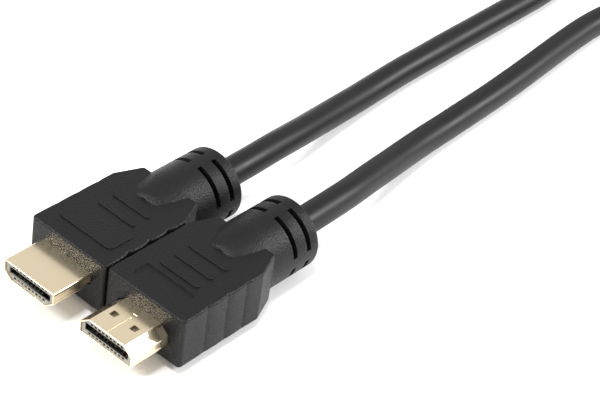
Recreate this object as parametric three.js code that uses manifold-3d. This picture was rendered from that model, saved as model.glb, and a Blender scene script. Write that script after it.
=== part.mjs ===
// An audio and video cable with a flat plug of the same kind on each end, in millimetres, +Z up.
// The two plugs lie side by side: plug A with the wide side of its metal shell up, plug B turned
// over. Their shells point to -Y and the cord leaves them towards +Y. The rest of the cord lies
// behind them in a flat hank with two ties.
import * as THREE from 'three';
import { mergeVertices } from 'three/addons/utils/BufferGeometryUtils.js';
import Module from 'manifold-3d';

const wasm = await Module();
wasm.setup();

// Driving dimensions.
const shellWidth = 13.9;
const shellHeight = 4.45;
const shellNarrow = 9.3;
const shellSide = 2.6;
const shellWall = 0.3;
const shellCorner = 0.55;
const shellReach = 9.8;
const shellInside = 5;
const seat = 0.3;
const through = 1;

const notchLong = 1.9;
const notchFrom = 5;
const notchTop = 1.65;
const notchRound = 0.5;
const latchSize = 1.5;
const latchApart = 5.4;
const latchBack = 5;

const insulatorGap = 0.1;
const insulatorRecess = 0.5;
const slotWidth = 11.4;
const slotHeight = 1.7;
const slotDepth = 7;
const slotLift = 0.15;
const lipThick = 0.15;
const lipDepth = 0.5;
const windowHeight = 0.45;
const windowDepth = 1.2;
const pinPitch = 1;
const pinWidth = 0.42;
const pinThick = 0.3;
const pinLength = 6.2;
const pinGap = 0.1;
const pinStep = 0.35;
const pinsWide = 10;
const pinsNarrow = 9;

const bodyWidth = 20.5;
const bodyHeight = 11.8;
const bodyStraight = 22;
const bodyLength = 28.3;
const bodyTaper = 2.6;
const bodyEdge = 0.35;
const bodyCorner = 0.9;
const padHeight = 0.25;
const barLength = 10;
const barWidth = 1.2;
const barCorner = 0.55;
const barsWide = [13.2, 17.2];
const barsNarrow = [9.4, 13.2, 17.2];
const panelWidth = 14.6;
const panelFrom = 4.2;
const panelTo = 11.1;
const panelCorner = 1.3;
const recessWidth = 12.8;
const recessFrom = 3;
const recessTo = 7.1;
const recessCorner = 0.4;
const scoopRadius = 1.7;
const scoopDepths = { right: { wide: 0.5, narrow: 0.06 }, left: { wide: 0.1, narrow: 0.26 } };
const scoopPlaces = [6.8, 12.4, 17.6];

const reliefRadius = 7.9;
const reliefFront = 20.9;
const reliefNose = 6.4;
const reliefNoseEdge = 0.4;
const reliefShoulder = 23.1;
const reliefShoulderRadius = 6.95;
const reliefFull = 28.6;
const reliefSwell = 2.4;
const reliefSwellStep = 0.25;
const reliefEnd = 42;
const reliefEdge = 0.7;
const slitPlaces = [34.8, 38.8];
const slitWidth = 1.2;
const slitAngle = 72 * Math.PI / 180;
const slitCore = 4.4;

const plugGap = 0.3;
const plugALead = 0.3;

const cordRadius = 3.2;
const hankBend = 25.6;
const hankCentre = -7.9;
const hankNear = 227;
const hankStraight = 42;
const hankMouth = 26;
const hankSlack = 5;
const tieThick = 0.8;
const tieWide = 4;

// Places that follow from them.
const originBack = (reliefEnd - shellReach - plugALead) / 2;
const plugCentre = (bodyWidth + plugGap) / 2;
const cordExit = reliefEnd - originBack + seat;
const cordWidth = 2 * cordRadius;
const hankBase = tieThick + seat;
const hankRun = hankBend + cordWidth;
const hankOuter = hankRun + cordRadius;
const hankEntry = hankNear - hankMouth - seat;
const hankInner = hankBend - cordRadius;

const black = new THREE.MeshStandardMaterial({ color: 0x262628, roughness: 0.62, metalness: 0 });
const jacket = new THREE.MeshStandardMaterial({ color: 0x1d1d1f, roughness: 0.42, metalness: 0 });
const plated = new THREE.MeshStandardMaterial({ color: 0xe3cfa0, roughness: 0.24, metalness: 1 });
const inner = new THREE.MeshStandardMaterial({ color: 0x6f6d66, roughness: 0.5, metalness: 0 });
const tip = new THREE.MeshStandardMaterial({ color: 0xe8c873, roughness: 0.2, metalness: 1 });
const tieBlack = new THREE.MeshStandardMaterial({ color: 0x141415, roughness: 0.5, metalness: 0 });

// A three.js geometry as a solid that can be cut and joined.
function solid(geometry) {
  const bare = geometry.clone();
  bare.deleteAttribute('normal');
  bare.deleteAttribute('uv');
  const merged = mergeVertices(bare, 1e-5);
  return new wasm.Manifold(new wasm.Mesh({
    numProp: 3,
    vertProperties: new Float32Array(merged.attributes.position.array),
    triVerts: new Uint32Array(merged.index.array),
  }));
}

// The solid as a three.js geometry again.
function geometryOf(body) {
  const mesh = body.getMesh();
  const geometry = new THREE.BufferGeometry();
  geometry.setAttribute('position', new THREE.BufferAttribute(mesh.vertProperties, 3));
  geometry.setIndex(new THREE.BufferAttribute(mesh.triVerts, 1));
  geometry.computeVertexNormals();
  return geometry;
}

function named(name, geometry, material) {
  const mesh = new THREE.Mesh(geometry, material.clone());
  mesh.name = name;
  return mesh;
}

// Each side of a convex outline, listed anticlockwise, moved inwards by a distance.
function inset(points, distance) {
  const lines = points.map((a, i) => {
    const b = points[(i + 1) % points.length];
    const along = b.clone().sub(a).normalize();
    const inward = new THREE.Vector2(-along.y, along.x);
    return { at: a.clone().addScaledVector(inward, distance), along };
  });
  return lines.map((line, i) => {
    const before = lines[(i + lines.length - 1) % lines.length];
    const cross = before.along.cross(line.along);
    const gap = line.at.clone().sub(before.at);
    return before.at.clone().addScaledVector(before.along, gap.cross(line.along) / cross);
  });
}

// The outline with each corner rounded.
function rounded(points, radius, steps = 5) {
  const out = [];
  points.forEach((corner, i) => {
    const back = points[(i + points.length - 1) % points.length].clone().sub(corner).normalize();
    const on = points[(i + 1) % points.length].clone().sub(corner).normalize();
    const half = back.angleTo(on) / 2;
    const middle = back.clone().add(on).normalize();
    const centre = corner.clone().addScaledVector(middle, radius / Math.sin(half));
    const from = corner.clone().addScaledVector(back, radius / Math.tan(half)).sub(centre);
    const to = corner.clone().addScaledVector(on, radius / Math.tan(half)).sub(centre);
    const turn = Math.atan2(from.cross(to), from.dot(to));
    for (let k = 0; k <= steps; k += 1) {
      out.push(from.clone().rotateAround(new THREE.Vector2(), turn * k / steps).add(centre));
    }
  });
  return out;
}

// An outline drawn in X and Z, made a solid from one Y to a higher one.
function alongY(points, from, to, holes = []) {
  const shape = new THREE.Shape(points);
  holes.forEach((hole) => shape.holes.push(new THREE.Path(hole)));
  const geometry = new THREE.ExtrudeGeometry(shape, { depth: to - from, bevelEnabled: false });
  geometry.rotateX(Math.PI / 2);
  return geometry.translate(0, to, 0);
}

// An outline drawn in Y and Z, made a solid from one X to a higher one.
function alongX(points, from, to) {
  const shape = new THREE.Shape(points);
  const geometry = new THREE.ExtrudeGeometry(shape, { depth: to - from, bevelEnabled: false });
  return geometry.rotateX(Math.PI / 2).rotateZ(Math.PI / 2).translate(from, 0, 0);
}

// A rectangle with rounded corners, drawn in X and Y, made a solid from one Z to a higher one.
function pad(width, from, to, corner, low, high) {
  const corners = [[-width / 2, from], [width / 2, from], [width / 2, to], [-width / 2, to]]
    .map(([x, y]) => new THREE.Vector2(x, y));
  const shape = new THREE.Shape(rounded(corners, corner));
  const geometry = new THREE.ExtrudeGeometry(shape, { depth: high - low, bevelEnabled: false });
  return geometry.translate(0, 0, low);
}

function block(width, length, height, x, y, z) {
  return new THREE.BoxGeometry(width, length, height).translate(x, y, z);
}

// The shell's section: a wide face on top, short upright sides, and slopes down to a narrow face.
function shellOutline(distance = 0) {
  const corners = [
    [shellNarrow / 2, -shellHeight / 2],
    [shellWidth / 2, shellHeight / 2 - shellSide],
    [shellWidth / 2, shellHeight / 2],
    [-shellWidth / 2, shellHeight / 2],
    [-shellWidth / 2, shellHeight / 2 - shellSide],
    [-shellNarrow / 2, -shellHeight / 2],
  ].map(([x, z]) => new THREE.Vector2(x, z));
  return rounded(inset(corners, distance), Math.max(shellCorner - distance, 0.15));
}

const latchPlaces = [-latchApart / 2, latchApart / 2];

// The notch in one side of the shell, where its slope and its side stop short of the housing.
function notch(side) {
  const corners = [
    [-notchLong, -shellHeight], [seat, -shellHeight], [seat, notchTop], [-notchLong, notchTop],
  ].map(([y, z]) => new THREE.Vector2(y, z));
  const outline = rounded(corners, notchRound);
  return side > 0 ? alongX(outline, notchFrom, shellWidth) : alongX(outline, -shellWidth, -notchFrom);
}

// The formed metal shell with a notch in each side and two latch holes in the narrow face.
function shell() {
  let body = solid(alongY(shellOutline(), -shellReach, shellInside, [shellOutline(shellWall)]));
  [-1, 1].forEach((side) => {
    body = body.subtract(solid(notch(side)));
  });
  latchPlaces.forEach((x) => {
    const hole = block(latchSize, latchSize, 3 * shellWall, x, -latchBack, -shellHeight / 2);
    body = body.subtract(solid(hole));
  });
  return geometryOf(body);
}

// Where each contact lies: how far across, and on which side of the slot.
const slotTop = slotLift + slotHeight / 2;
const slotFloor = slotLift - slotHeight / 2;
const contacts = [];
[[pinsWide, 1], [pinsNarrow, -1]].forEach(([count, side]) => {
  for (let k = 0; k < count; k += 1) {
    contacts.push({ x: (k - (count - 1) / 2) * pinPitch, side });
  }
});

function contactHeight(side) {
  const wall = side > 0 ? slotTop : slotFloor;
  return wall + side * (pinStep - pinThick / 2);
}

const insulatorFront = insulatorRecess - shellReach;

// The moulded insert that fills the shell: its slot, and for each contact a groove in the slot's
// wall and a small window in the front face, with a thin lip left between the two.
function insulator() {
  const back = shellInside - insulatorRecess;
  let body = solid(alongY(shellOutline(shellWall + insulatorGap), insulatorFront, back));
  const open = insulatorFront - through;
  const slotBack = insulatorFront + slotDepth;
  const slot = block(slotWidth, slotBack - open, slotHeight, 0, (slotBack + open) / 2, slotLift);
  body = body.subtract(solid(slot));
  contacts.forEach(({ x, side }) => {
    const wide = pinWidth + 2 * pinGap;
    const wall = side > 0 ? slotTop : slotFloor;
    const start = insulatorFront + lipDepth;
    const deep = pinStep + pinGap;
    const groove = block(wide, slotBack - start, 2 * deep, x, (slotBack + start) / 2, wall);
    const end = insulatorFront + windowDepth;
    const middle = wall + side * (lipThick + windowHeight / 2);
    const window = block(wide, end - open, windowHeight, x, (end + open) / 2, middle);
    body = body.subtract(solid(groove)).subtract(solid(window));
  });
  latchPlaces.forEach((x) => {
    const pocket = block(
      latchSize, latchSize, 2 * shellWall, x, -latchBack, -shellHeight / 2 + shellWall + insulatorGap,
    );
    body = body.subtract(solid(pocket));
  });
  return geometryOf(body);
}

// One flat spring contact, with a chamfered front end.
function contact({ x, side }) {
  const front = insulatorFront + lipDepth + pinGap;
  const lead = pinThick;
  const outline = [
    [front, 0], [front + lead, -side * pinThick / 2], [front + pinLength, -side * pinThick / 2],
    [front + pinLength, side * pinThick / 2], [front, side * pinThick / 2],
  ].map(([y, z]) => new THREE.Vector2(y, z));
  return alongX(outline, x - pinWidth / 2, x + pinWidth / 2).translate(0, 0, contactHeight(side));
}

// The plan of the moulded housing, narrower at its back.
function bodyPlan() {
  return [
    [-bodyWidth / 2, 0], [bodyWidth / 2, 0], [bodyWidth / 2, bodyStraight],
    [bodyWidth / 2 - bodyTaper, bodyLength], [-bodyWidth / 2 + bodyTaper, bodyLength],
    [-bodyWidth / 2, bodyStraight],
  ].map(([x, y]) => new THREE.Vector2(x, y));
}

// One finger scoop: a leaning cylinder, so that it is deep at one edge and shallow at the other.
function scoop(side, y) {
  const { wide, narrow } = side > 0 ? scoopDepths.right : scoopDepths.left;
  const lean = Math.atan2(wide - narrow, bodyHeight);
  const middle = (wide + narrow) / 2;
  const tool = new THREE.CylinderGeometry(scoopRadius, scoopRadius, 3 * bodyHeight, 40);
  tool.rotateX(Math.PI / 2).rotateY(-side * lean);
  return tool.translate(side * (bodyWidth / 2 - middle + scoopRadius), y, 0);
}

// The raised bars and the panel on the wide side and the narrow side of the housing.
function gripPads() {
  const top = bodyHeight / 2;
  const bar = (y, low, high) => (
    pad(barLength, y - barWidth / 2, y + barWidth / 2, barCorner, low, high)
  );
  return [
    pad(panelWidth, panelFrom, panelTo, panelCorner, top - seat, top + padHeight),
    ...barsWide.map((y) => bar(y, top - seat, top + padHeight)),
    ...barsNarrow.map((y) => bar(y, -top - padHeight, -top + seat)),
  ];
}

// One slit of the strain relief: a sector of a ring, square to the cord.
function reliefSlit(y, turn) {
  const shape = new THREE.Shape();
  const from = turn - slitAngle / 2;
  const to = turn + slitAngle / 2;
  shape.absarc(0, 0, reliefRadius + through, from, to, false);
  shape.absarc(0, 0, slitCore, to, from, true);
  const geometry = new THREE.ExtrudeGeometry(shape, {
    depth: slitWidth, bevelEnabled: false, curveSegments: 14,
  });
  return geometry.rotateX(Math.PI / 2).translate(0, y + slitWidth / 2, 0);
}

// The housing and its strain relief, moulded round the shell and the cord as one piece.
function overmould() {
  const plan = new THREE.Shape(rounded(inset(bodyPlan(), bodyEdge), bodyCorner - bodyEdge));
  const housing = new THREE.ExtrudeGeometry(plan, {
    depth: bodyHeight - 2 * bodyEdge, bevelSize: bodyEdge, bevelThickness: bodyEdge, bevelSegments: 3,
  }).translate(0, 0, bodyEdge - bodyHeight / 2);
  let body = solid(housing);
  [-1, 1].forEach((side) => scoopPlaces.forEach((y) => {
    body = body.subtract(solid(scoop(side, y)));
  }));
  gripPads().forEach((raised) => {
    body = body.add(solid(raised));
  });
  const low = -bodyHeight / 2;
  const recess = pad(
    recessWidth, recessFrom, recessTo, recessCorner, low - through, low + padHeight,
  );
  body = body.subtract(solid(recess));
  const profile = [
    [0, reliefFront - reliefNoseEdge], [reliefNose - reliefNoseEdge, reliefFront - reliefNoseEdge],
    [reliefNose, reliefFront], [reliefShoulderRadius, reliefShoulder],
    [reliefRadius - reliefSwellStep, reliefFull - reliefSwell], [reliefRadius, reliefFull],
  ].map(([r, y]) => new THREE.Vector2(r, y));
  for (let k = 0; k <= 4; k += 1) {
    const turn = k * Math.PI / 8;
    const drop = reliefEdge * (1 - Math.cos(turn));
    profile.push(new THREE.Vector2(
      reliefRadius - drop, reliefEnd - reliefEdge * (1 - Math.sin(turn)),
    ));
  }
  profile.push(new THREE.Vector2(0, reliefEnd));
  body = body.add(solid(new THREE.LatheGeometry(profile, 56)));
  slitPlaces.forEach((y) => [1, 3, 5, 7].forEach((eighth) => {
    body = body.subtract(solid(reliefSlit(y, eighth * Math.PI / 4)));
  }));
  const pocket = alongY(shellOutline(-seat), -through, shellInside + seat);
  return geometryOf(body.subtract(solid(pocket)));
}

// One whole plug about its own axis, with its housing's front face at Y zero.
function plug(letter) {
  const group = new THREE.Group();
  group.add(named(`overmould_${letter}`, overmould(), black));
  group.add(named(`shell_${letter}`, shell(), plated));
  group.add(named(`insulator_${letter}`, insulator(), inner));
  contacts.forEach((place, k) => {
    const number = String(k + 1).padStart(2, '0');
    group.add(named(`contact_${letter}_${number}`, contact(place), tip));
  });
  return group;
}

// The cord's two free stretches, from the strain reliefs to the hank, as points along the middle.
const routeA = [
  [-10.4, cordExit - plugALead, 7.9], [-10.5, 30, 7.85], [-10.9, 38, 7.5], [-11.6, 46, 6.9],
  [-12.4, 54, 5.95], [-13.4, 62, 4.9], [-14.3, 70, 4], [-15, 78, 3.4],
  [-15.5, 86, 3.2], [-15.8, 94, 3.2], [-15.9, 104, 3.2], [-16, 116, 3.2],
  [-16, 128, 3.2], [-16, 140, 3.2], [-16.1, 149, 3.2], [-17, 157, 3.2],
  [-19.9, 165, 3.25], [-23.7, 171, 3.35], [-27.9, 175, 3.45], [-32.1, 179, 3.6],
  [-36, 185, 3.9], [-39.1, 193, 4.2], [-39.9, 198, 4.3],
  [hankCentre - hankRun, hankEntry, 4.3],
].map((p) => new THREE.Vector3(...p));
const routeB = [
  [10.4, cordExit, 7.9], [10.3, 30, 7.85], [9.9, 38, 7.5], [9.2, 46, 6.9],
  [8, 54, 5.95], [6.8, 62, 4.9], [5.7, 70, 4], [4.9, 78, 3.45],
  [4.5, 86, 3.2], [4.2, 94, 3.2], [3.8, 104, 3.2], [3, 116, 3.2],
  [2, 128, 3.2], [1.1, 140, 3.2], [0.8, 149, 3.2], [1.6, 157, 3.4],
  [4.5, 165, 4.7], [8.3, 171, 6.1], [12.3, 175, 7.2], [16.4, 179, 8.3],
  [20.2, 185, 9.6], [23.3, 193, 10.5], [24.1, 198, 10.7],
  [hankCentre + hankRun, hankEntry, 10.7],
].map((p) => new THREE.Vector3(...p));

// A stretch of cord: a round section carried along its route.
function cord(route) {
  const section = new THREE.Shape();
  section.absarc(0, 0, cordRadius, 0, 2 * Math.PI, false);
  return new THREE.ExtrudeGeometry(section, {
    steps: 36, curveSegments: 10, extrudePath: new THREE.CatmullRomCurve3(route),
  });
}

// The outer shape of the wound cord: a flat ring with round ends and two mouths for the cord.
function hank() {
  const far = hankNear + hankStraight;
  const near = hankNear - hankSlack;
  const mouth = hankNear - hankMouth;
  const shape = new THREE.Shape();
  const open = Math.asin((near - mouth) / hankOuter);
  shape.moveTo(hankOuter, mouth);
  shape.lineTo(hankOuter, far);
  shape.absarc(0, far, hankOuter, 0, Math.PI, false);
  shape.lineTo(-hankOuter, mouth);
  shape.absarc(0, near, hankOuter, Math.PI + open, 2 * Math.PI - open, false);
  const bore = new THREE.Path();
  bore.absarc(0, far, hankInner, 0, Math.PI, false);
  bore.absarc(0, hankNear, hankInner, Math.PI, 2 * Math.PI, false);
  shape.holes.push(bore);
  const geometry = new THREE.ExtrudeGeometry(shape, {
    depth: 2 * cordWidth, bevelEnabled: false, curveSegments: 20,
  });
  return geometry.translate(hankCentre, 0, hankBase);
}

// A tie: a flat band round the four runs of one side of the hank.
function tie(side) {
  const half = cordWidth + seat;
  const band = (reach) => [[reach, -reach], [reach, reach], [-reach, reach], [-reach, -reach]]
    .map(([x, z]) => new THREE.Vector2(x, z));
  const outer = rounded(band(half + tieThick), tieThick + seat);
  const middle = hankNear + hankStraight / 2;
  const geometry = alongY(outer, middle - tieWide / 2, middle + tieWide / 2, [band(half)]);
  return geometry.translate(hankCentre + side * (hankInner + cordWidth), 0, hankBase + cordWidth);
}

const cable = new THREE.Group();

const plugA = plug('a');
plugA.position.set(-plugCentre, -originBack - plugALead, reliefRadius);
cable.add(plugA);

const plugB = plug('b');
plugB.position.set(plugCentre, -originBack, reliefRadius);
plugB.rotation.y = Math.PI;
cable.add(plugB);

cable.add(named('cord_a', cord(routeA), jacket));
cable.add(named('cord_b', cord(routeB), jacket));
cable.add(named('cord_hank', hank(), jacket));
cable.add(named('tie_left', tie(-1), tieBlack));
cable.add(named('tie_right', tie(1), tieBlack));

export default cable;
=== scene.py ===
# %% [markdown]
# # A cable with two flat plugs, in Blender
#
# The object is a black audio and video cable. Its two plugs lie side by side, one with the wide
# side of its metal shell up and one turned over. The cord runs from both plugs to a flat hank.
# The solids come from a CAD model, so this lesson only adds what a render needs: softer edges,
# fine relief, materials, light and a camera. All lengths are in metres.

# %% Load the solids
import math

import bmesh
import bpy
from mathutils import Matrix, Vector


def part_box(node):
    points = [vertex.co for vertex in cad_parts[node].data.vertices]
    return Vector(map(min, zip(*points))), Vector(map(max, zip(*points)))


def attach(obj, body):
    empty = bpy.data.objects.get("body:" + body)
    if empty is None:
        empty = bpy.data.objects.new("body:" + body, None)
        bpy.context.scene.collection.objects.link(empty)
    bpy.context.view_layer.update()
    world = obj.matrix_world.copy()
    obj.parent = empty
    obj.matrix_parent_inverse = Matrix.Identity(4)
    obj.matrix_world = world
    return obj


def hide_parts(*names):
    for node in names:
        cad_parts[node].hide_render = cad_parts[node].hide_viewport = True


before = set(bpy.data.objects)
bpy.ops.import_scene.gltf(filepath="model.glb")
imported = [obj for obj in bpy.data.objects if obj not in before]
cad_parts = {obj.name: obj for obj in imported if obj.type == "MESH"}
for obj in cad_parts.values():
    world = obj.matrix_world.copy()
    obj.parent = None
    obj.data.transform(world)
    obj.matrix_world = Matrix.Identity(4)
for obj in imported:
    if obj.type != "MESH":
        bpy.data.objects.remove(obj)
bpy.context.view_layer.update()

# %% [markdown]
# ## Camera
#
# The camera stands where the photographer's stood: in front of the plugs, above them and to the
# right, with a long lens, which keeps parallel edges nearly parallel. The picture is turned by
# about nine degrees, so the camera's own axes are worked out from three angles.

# %% Camera
aim = Vector((0.00058, 0.0412, 0.00198))
camera_distance = 0.4347
azimuth = math.radians(36.12)
elevation = math.radians(37.54)
roll = math.radians(9.28)

back = Vector((
    math.sin(azimuth) * math.cos(elevation),
    -math.cos(azimuth) * math.cos(elevation),
    math.sin(elevation),
))
level = Vector((math.cos(azimuth), math.sin(azimuth), 0))
upright = back.cross(level)
camera_right = level * math.cos(roll) + upright * math.sin(roll)
camera_up = upright * math.cos(roll) - level * math.sin(roll)

camera = bpy.data.objects.new("camera", bpy.data.cameras.new("camera"))
camera.data.sensor_width = 36
camera.data.lens = 123.73
camera.matrix_world = Matrix.Translation(aim + back * camera_distance) @ Matrix(
    (camera_right, camera_up, back)
).transposed().to_4x4()
bpy.context.collection.objects.link(camera)
bpy.context.scene.camera = camera
print("camera at", tuple(round(v, 4) for v in camera.matrix_world.translation))

# %% [markdown]
# ## The cord's route
#
# A cord is one length of something that bends, so it is made as one line from plug to plug. Each
# free stretch goes straight out of its plug, sinks to the table and runs along it. These points
# are given one by one. A smooth curve through them gives the points between.

# %% Free stretches of the cord
route_a = [
    (-0.0104, 0.02605, 0.0079), (-0.0105, 0.03, 0.00785), (-0.0109, 0.038, 0.0075),
    (-0.0116, 0.046, 0.0069), (-0.0124, 0.054, 0.00595), (-0.0134, 0.062, 0.0049),
    (-0.0143, 0.07, 0.004), (-0.015, 0.078, 0.0034), (-0.0155, 0.086, 0.0032),
    (-0.0158, 0.094, 0.0032), (-0.0159, 0.104, 0.0032), (-0.016, 0.116, 0.0032),
    (-0.016, 0.128, 0.0032), (-0.016, 0.14, 0.0032), (-0.0161, 0.149, 0.0032),
    (-0.017, 0.157, 0.0032), (-0.0199, 0.165, 0.00325), (-0.0237, 0.171, 0.00335),
    (-0.0279, 0.175, 0.00345), (-0.0321, 0.179, 0.0036), (-0.036, 0.185, 0.0039),
    (-0.0391, 0.193, 0.0042), (-0.0399, 0.198, 0.0043), (-0.0399, 0.2007, 0.0043),
]
route_b = [
    (0.0104, 0.02635, 0.0079), (0.0103, 0.03, 0.00785), (0.0099, 0.038, 0.0075),
    (0.0092, 0.046, 0.0069), (0.008, 0.054, 0.00595), (0.0068, 0.062, 0.0049),
    (0.0057, 0.07, 0.004), (0.0049, 0.078, 0.00345), (0.0045, 0.086, 0.0032),
    (0.0042, 0.094, 0.0032), (0.0038, 0.104, 0.0032), (0.003, 0.116, 0.0032),
    (0.002, 0.128, 0.0032), (0.0011, 0.14, 0.0032), (0.0008, 0.149, 0.0032),
    (0.0016, 0.157, 0.0034), (0.0045, 0.165, 0.0047), (0.0083, 0.171, 0.0061),
    (0.0123, 0.175, 0.0072), (0.0164, 0.179, 0.0083), (0.0202, 0.185, 0.0096),
    (0.0233, 0.193, 0.0105), (0.0241, 0.198, 0.0107), (0.0241, 0.2007, 0.0107),
]


def smooth(points, steps=4):
    """Points on a smooth curve through the given ones, with the given ones among them."""
    line = [Vector(p) for p in points]
    ends = [2 * line[0] - line[1]] + line + [2 * line[-1] - line[-2]]
    out = []
    for a, b, c, d in zip(ends, ends[1:], ends[2:], ends[3:]):
        for k in range(steps):
            t = k / steps
            out.append(0.5 * (
                2 * b + (c - a) * t + (2 * a - 5 * b + 4 * c - d) * t ** 2
                + (3 * b - a - 3 * c + d) * t ** 3
            ))
    return out + [line[-1]]


print("free stretches:", len(route_a), "and", len(route_b), "points")

# %% [markdown]
# ## The hank
#
# The picture doesn't show the rest of the cord. It is put away in a hank: four turns with straight
# sides and round ends, two turns beside each other and two on top. A loop lays the turns in the
# order in which a hand would wind them, so that the hank is one unbroken line.

# %% Winding the hank
cord_radius = 0.0032
cord_width = 2 * cord_radius
hank_middle = -0.0079
hank_near = 0.227
hank_far = hank_near + 0.042
hank_inner = 0.0256
hank_outer = hank_inner + cord_width
bottom_layer = route_a[-1][2]
top_layer = route_b[-1][2]

turn_sides = [hank_outer, hank_inner, hank_inner, hank_outer]
turn_layers = [bottom_layer, bottom_layer, top_layer, top_layer]
near_loop_drops = [0.5 * cord_width, 0, cord_width]
climb_from, climb_to = math.radians(15), math.radians(150)


def half_round(middle_x, middle_y, radius, first, steps=24):
    """Plan points of a half circle, clockwise from the angle first, with both its ends."""
    turns = [first - math.pi * k / steps for k in range(steps + 1)]
    return [(middle_x + radius * math.cos(t), middle_y + radius * math.sin(t)) for t in turns]


def side_run(x, start, end, steps=8):
    """Plan points between the two ends of a straight side, without the ends."""
    return [(x, start + (end - start) * k / steps) for k in range(1, steps)]


def wind_hank():
    points = []
    start = route_a[-1][1]
    for turn, (side, layer) in enumerate(zip(turn_sides, turn_layers)):
        left, right = hank_middle - side, hank_middle + side
        last = turn == len(near_loop_drops)
        loop_y = route_b[-1][1] if last else hank_near - near_loop_drops[turn]
        plan = side_run(left, start, hank_far)
        plan += half_round(hank_middle, hank_far, side, math.pi)
        plan += side_run(right, hank_far, loop_y)
        points += [Vector((x, y, layer)) for x, y in plan]
        if last:
            break
        next_side, next_layer = turn_sides[turn + 1], turn_layers[turn + 1]
        middle = hank_middle + (side - next_side) / 2
        loop = half_round(middle, loop_y, (side + next_side) / 2, 0)
        for k, (x, y) in enumerate(loop):
            share = (math.pi * k / (len(loop) - 1) - climb_from) / (climb_to - climb_from)
            share = min(max(share, 0), 1)
            ease = share * share * (3 - 2 * share)
            points.append(Vector((x, y, layer + (next_layer - layer) * ease)))
        start = loop_y
    return points


cord_line = smooth(route_a) + wind_hank() + smooth(route_b)[::-1]

# %% [markdown]
# ## The cord's jacket
#
# The jacket is a round tube that follows the line, which is just what a Geometry Nodes tree with
# Curve to Mesh makes. The tree also stores how far along the cord each point is, and which way it
# faces round the cord. The jacket's material reads both, so its faint lay turns with the cord.

# %% A helper for Geometry Nodes
def new_tree(name, sizes):
    """An empty Geometry Nodes tree with one geometry going through and named number inputs."""
    tree = bpy.data.node_groups.new(name, "GeometryNodeTree")
    tree.interface.new_socket("Geometry", in_out="INPUT", socket_type="NodeSocketGeometry")
    tree.interface.new_socket("Geometry", in_out="OUTPUT", socket_type="NodeSocketGeometry")
    for label, kind in sizes.items():
        tree.interface.new_socket(label, in_out="INPUT", socket_type=kind)
    return tree, tree.nodes.new("NodeGroupInput"), tree.nodes.new("NodeGroupOutput")


def run_tree(host, tree, values, name):
    """Put the tree on the host with these values, and give the result as a plain mesh object."""
    modifier = host.modifiers.new(tree.name, "NODES")
    modifier.node_group = tree
    for item in tree.interface.items_tree:
        if item.in_out == "INPUT" and item.name in values:
            modifier[item.identifier] = values[item.name]
    graph = bpy.context.evaluated_depsgraph_get()
    mesh = bpy.data.meshes.new_from_object(host.evaluated_get(graph), depsgraph=graph)
    mesh.name = name
    host.modifiers.remove(modifier)
    made = bpy.data.objects.new(name, mesh)
    bpy.context.collection.objects.link(made)
    bpy.data.objects.remove(host)
    return made


number, count, stuff = "NodeSocketFloat", "NodeSocketInt", "NodeSocketMaterial"

# %% A helper for materials
def new_material(name, **settings):
    """A material, its node tree and its shader, with constant settings on the shader's sockets."""
    material = bpy.data.materials.new(name)
    material.use_nodes = True
    tree = material.node_tree
    shader = tree.nodes["Principled BSDF"]
    for label, value in settings.items():
        shader.inputs[label.replace("_", " ")].default_value = value
    return material, tree, shader


def add(tree, kind, links=None, **settings):
    """A node with settings, and with its inputs set to a value or linked to another's output."""
    node = tree.nodes.new(kind)
    for label, value in settings.items():
        setattr(node, label, value)
    for label, value in (links or {}).items():
        if isinstance(value, bpy.types.NodeSocket):
            tree.links.new(value, node.inputs[label])
        else:
            node.inputs[label].default_value = value
    return node


def calculate(tree, operation, *values):
    """The result of a Math node for one to three values."""
    return add(tree, "ShaderNodeMath", dict(enumerate(values)), operation=operation).outputs[0]


def finish_tree(tree, end, geometry, material):
    """End a tree with plain geometry in one material, because the export drops instances."""
    real = add(tree, "GeometryNodeRealizeInstances", {"Geometry": geometry})
    dressed = add(tree, "GeometryNodeSetMaterial", {
        "Geometry": real.outputs[0], "Material": material})
    tree.links.new(dressed.outputs[0], end.inputs[0])


def cut_copies(tree, start, end, copies, material):
    """End a tree by cutting its copies out of the geometry that goes in."""
    real = add(tree, "GeometryNodeRealizeInstances", {"Geometry": copies.outputs[0]})
    cut = add(tree, "GeometryNodeMeshBoolean", {
        "Mesh 1": start.outputs["Geometry"], "Mesh 2": real.outputs[0]}, operation="DIFFERENCE")
    finish_tree(tree, end, cut.outputs[0], material)


def noise(tree, place, scale, detail):
    """The grey value of a noise texture."""
    node = add(tree, "ShaderNodeTexNoise", {"Vector": place, "Scale": scale, "Detail": detail})
    return node.outputs["Fac"]


def bump(tree, height, strength, distance, under=None):
    """A normal with bumps, on top of another one if it is given."""
    links = {"Height": height, "Strength": strength, "Distance": distance}
    if under is not None:
        links["Normal"] = under
    return add(tree, "ShaderNodeBump", links).outputs[0]


def link_shader(tree, shader, **sources):
    """Link a source to each of the shader's sockets named here."""
    for label, source in sources.items():
        tree.links.new(source, shader.inputs[label.replace("_", " ")])


def ramp(tree, factor, stops):
    """A colour ramp from position and grey value or colour pairs."""
    node = add(tree, "ShaderNodeValToRGB", {"Fac": factor})
    elements = node.color_ramp.elements
    while len(elements) < len(stops):
        elements.new(0.5)
    for element, (place, shade) in zip(elements, stops):
        element.position = place
        element.color = (*((shade,) * 3 if isinstance(shade, float) else shade), 1)
    return node.outputs["Color"]


def blend_colours(tree, factor, first, second):
    """Two colours mixed by a factor."""
    node = tree.nodes.new("ShaderNodeMix")
    node.data_type = "RGBA"
    for label, value in zip(("Factor", "A", "B"), (factor, first, second)):
        socket = [s for s in node.inputs if s.name == label and s.enabled][0]
        if isinstance(value, bpy.types.NodeSocket):
            tree.links.new(value, socket)
        else:
            socket.default_value = value
    return [s for s in node.outputs if s.enabled][0]


# %% Jacket material
jacket_black = (0.004, 0.004, 0.0045, 1)
jacket_worn = (0.0075, 0.0074, 0.0073, 1)
lay_pitch = 0.03

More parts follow.
